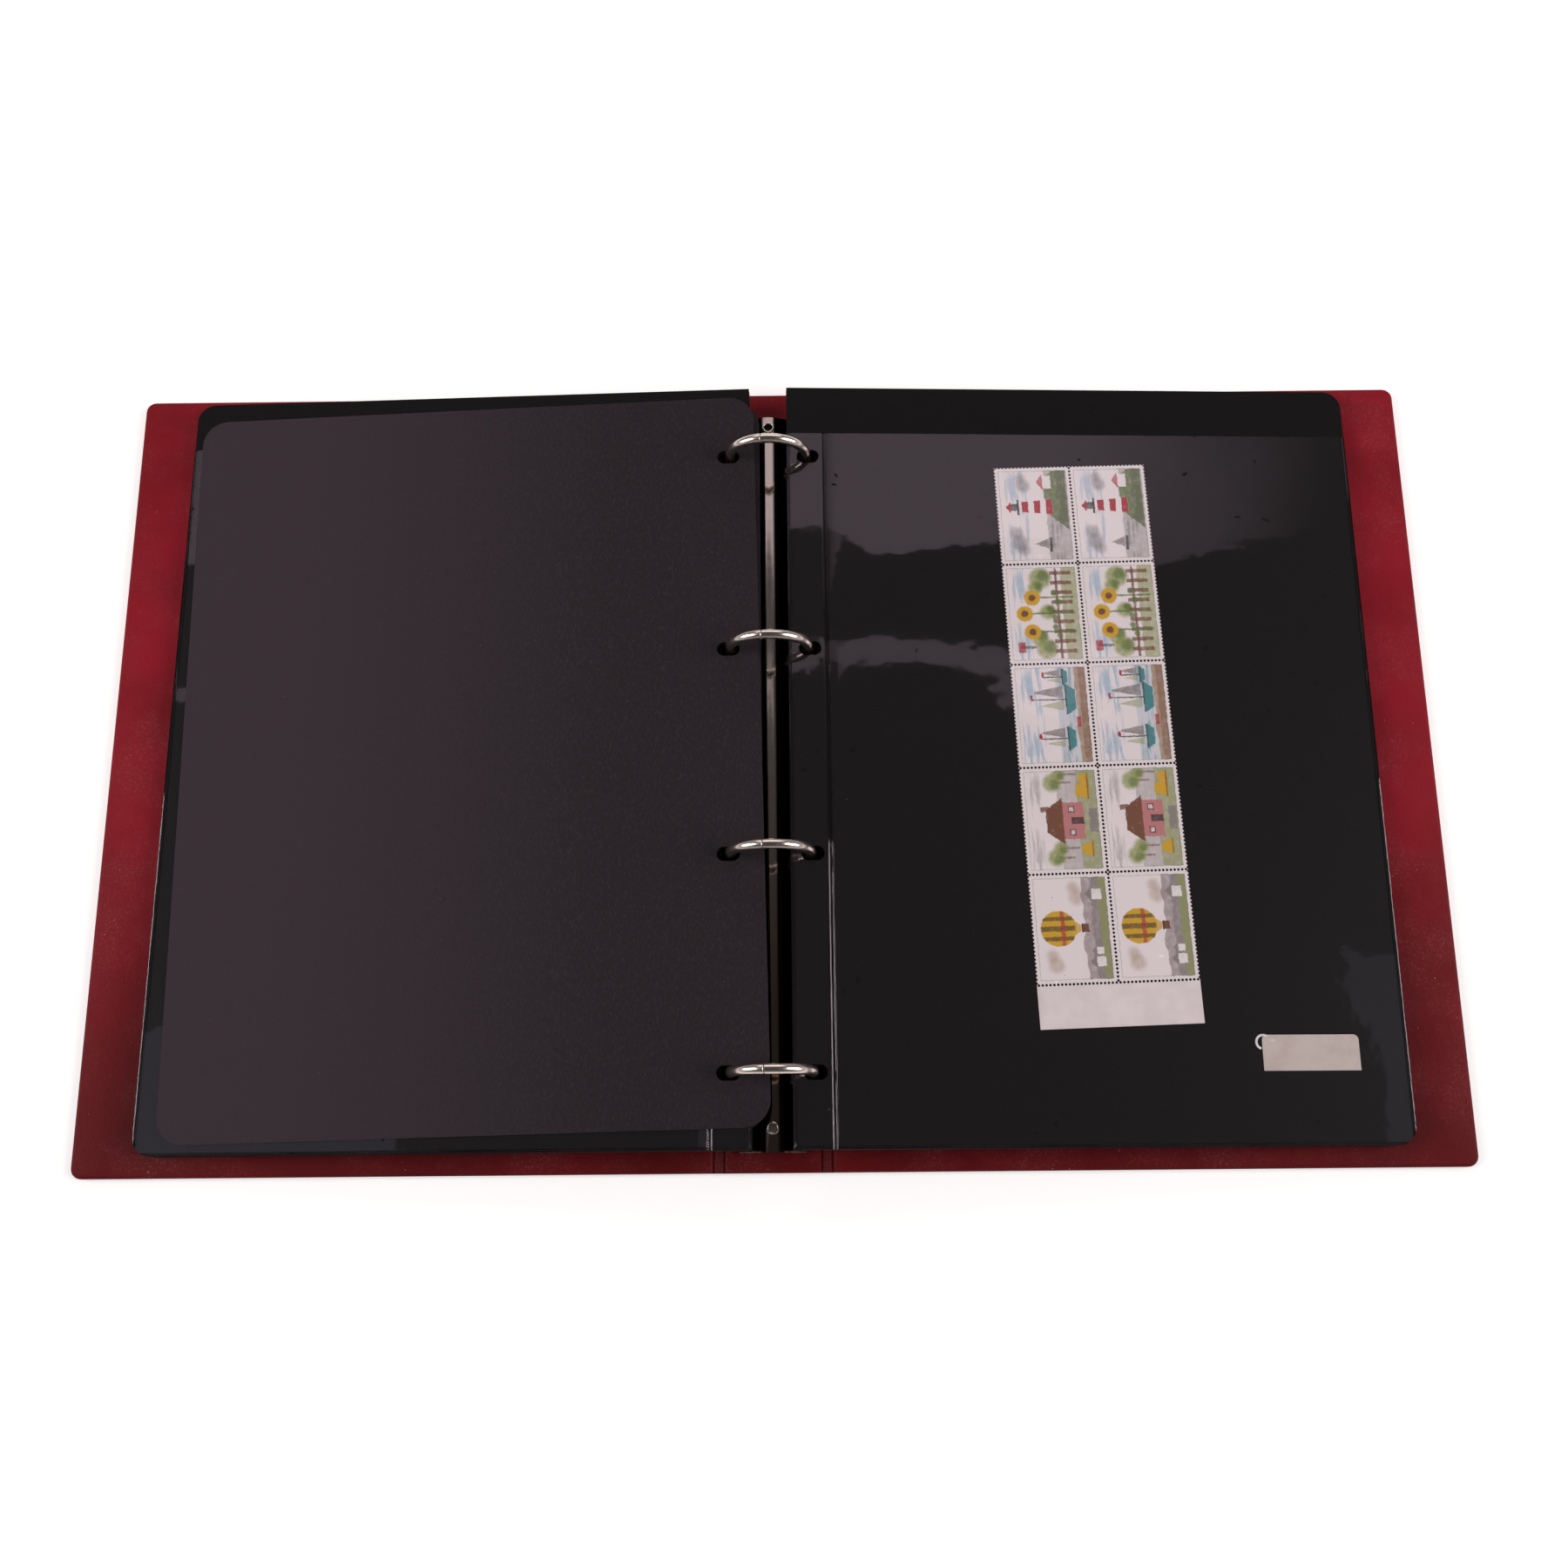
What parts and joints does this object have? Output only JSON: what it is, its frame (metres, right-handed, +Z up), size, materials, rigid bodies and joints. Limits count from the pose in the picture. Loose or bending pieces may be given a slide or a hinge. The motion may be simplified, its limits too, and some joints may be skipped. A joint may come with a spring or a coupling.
{
  "type": "stamp album",
  "caption": "Ring-binder stamp album lying open: vinyl covers, a ring mechanism with opening rings, turning pocket leaves, a card interleaf and a stamp block that slides out of its pocket.",
  "frame": {"origin": "on the table under the middle of the spine", "axes": "+X across the open covers towards the back cover, +Y along the spine away from the reader, +Z up"},
  "size_m": [0.508, 0.309, 0.0358],
  "materials": {
    "red_vinyl": "embossed grain vinyl, satin, worn",
    "greyboard": "raw greyboard",
    "nickel": "polished nickel plate",
    "black_sheet": "smooth black sheet",
    "clear_film": "clear glossy film",
    "black_card": "matte black card",
    "stamp_paper": "printed coated paper",
    "label_paper": "cream paper"
  },
  "bodies": {
    "spine": {"spine_board": "greyboard", "spine_outer_vinyl": "red_vinyl", "spine_lining": "red_vinyl", "front_hinge_web": "red_vinyl", "back_hinge_web": "red_vinyl", "ring_plate": "nickel", "upper_rivet": "nickel", "lower_rivet": "nickel"},
    "front_cover": {"front_board": "greyboard", "front_outer_vinyl": "red_vinyl", "front_lining": "red_vinyl"},
    "back_cover": {"back_board": "greyboard", "back_outer_vinyl": "red_vinyl", "back_lining": "red_vinyl"},
    "left_rings": {"left_blade": "nickel", "ring_1_left": "nickel", "ring_2_left": "nickel", "ring_3_left": "nickel", "ring_4_left": "nickel"},
    "right_rings": {"right_blade": "nickel", "ring_1_right": "nickel", "ring_2_right": "nickel", "ring_3_right": "nickel", "ring_4_right": "nickel"},
    "left_leaves": {"left_page_1_sheet": "black_sheet", "left_page_1_top_film": "clear_film", "left_page_1_under_film": "clear_film", "left_page_2_sheet": "black_sheet", "left_page_2_top_film": "clear_film", "left_page_2_under_film": "clear_film", "left_page_3_sheet": "black_sheet", "left_page_3_top_film": "clear_film", "left_page_3_under_film": "clear_film", "lower_interleaf_card": "black_card"},
    "right_leaves": {"right_page_2_sheet": "black_sheet", "right_page_2_top_film": "clear_film", "right_page_2_under_film": "clear_film", "right_page_3_sheet": "black_sheet", "right_page_3_top_film": "clear_film", "right_page_3_under_film": "clear_film"},
    "interleaf": {"interleaf_card": "black_card"},
    "stamp_page": {"stamp_page_sheet": "black_sheet", "stamp_page_top_film": "clear_film", "stamp_page_under_film": "clear_film"},
    "stamp_block": {"stamp_block": "stamp_paper"},
    "label": {"paper_label": "label_paper"}
  },
  "joints": [
    {"name": "front_cover_hinge", "type": "hinge", "parent": "spine", "child": "front_cover", "pos_m": [-0.0195, 0, 0.0017], "axis": [0, 1, 0], "range_deg": [0, 90], "deforming": ["front_hinge_web"]},
    {"name": "back_cover_hinge", "type": "hinge", "parent": "spine", "child": "back_cover", "pos_m": [0.0195, 0, 0.0017], "axis": [0, -1, 0], "range_deg": [0, 90], "deforming": ["back_hinge_web"]},
    {"name": "left_leaves_turn", "type": "hinge", "parent": "spine", "child": "left_leaves", "pos_m": [0, 0, 0.01903], "axis": [0, 1, 0], "range_deg": [0, 90]},
    {"name": "right_leaves_turn", "type": "hinge", "parent": "spine", "child": "right_leaves", "pos_m": [0, 0, 0.01903], "axis": [0, -1, 0], "range_deg": [0, 90]},
    {"name": "interleaf_turn", "type": "hinge", "parent": "left_leaves", "child": "interleaf", "pos_m": [0, 0, 0.01903], "axis": [0, -1, 0], "range_deg": [-184, 0]},
    {"name": "stamp_page_turn", "type": "hinge", "parent": "right_leaves", "child": "stamp_page", "pos_m": [0, 0, 0.01903], "axis": [0, 1, 0], "range_deg": [-184, 0]},
    {"name": "ring_opening", "type": "hinge", "parent": "spine", "child": "left_rings", "pos_m": [-0.01025, 0, 0.0056], "axis": [0, 1, 0], "range_deg": [-12, 0]},
    {"name": "right_ring_opening", "type": "hinge", "parent": "spine", "child": "right_rings", "pos_m": [0.01025, 0, 0.0056], "axis": [0, -1, 0], "range_deg": [-12, 0]},
    {"name": "stamp_block_slide", "type": "slide", "parent": "stamp_page", "child": "stamp_block", "axis": [0, -1, 0], "range_m": [-0.245, 0]},
    {"name": "label_slide", "type": "slide", "parent": "stamp_page", "child": "label", "axis": [0, -1, 0], "range_m": [-0.255, 0]}
  ],
  "couplings": [
    {"joint": "left_leaves_turn", "follows": "front_cover_hinge", "ratio": 1},
    {"joint": "right_leaves_turn", "follows": "back_cover_hinge", "ratio": 1},
    {"joint": "right_ring_opening", "follows": "ring_opening", "ratio": 1}
  ]
}
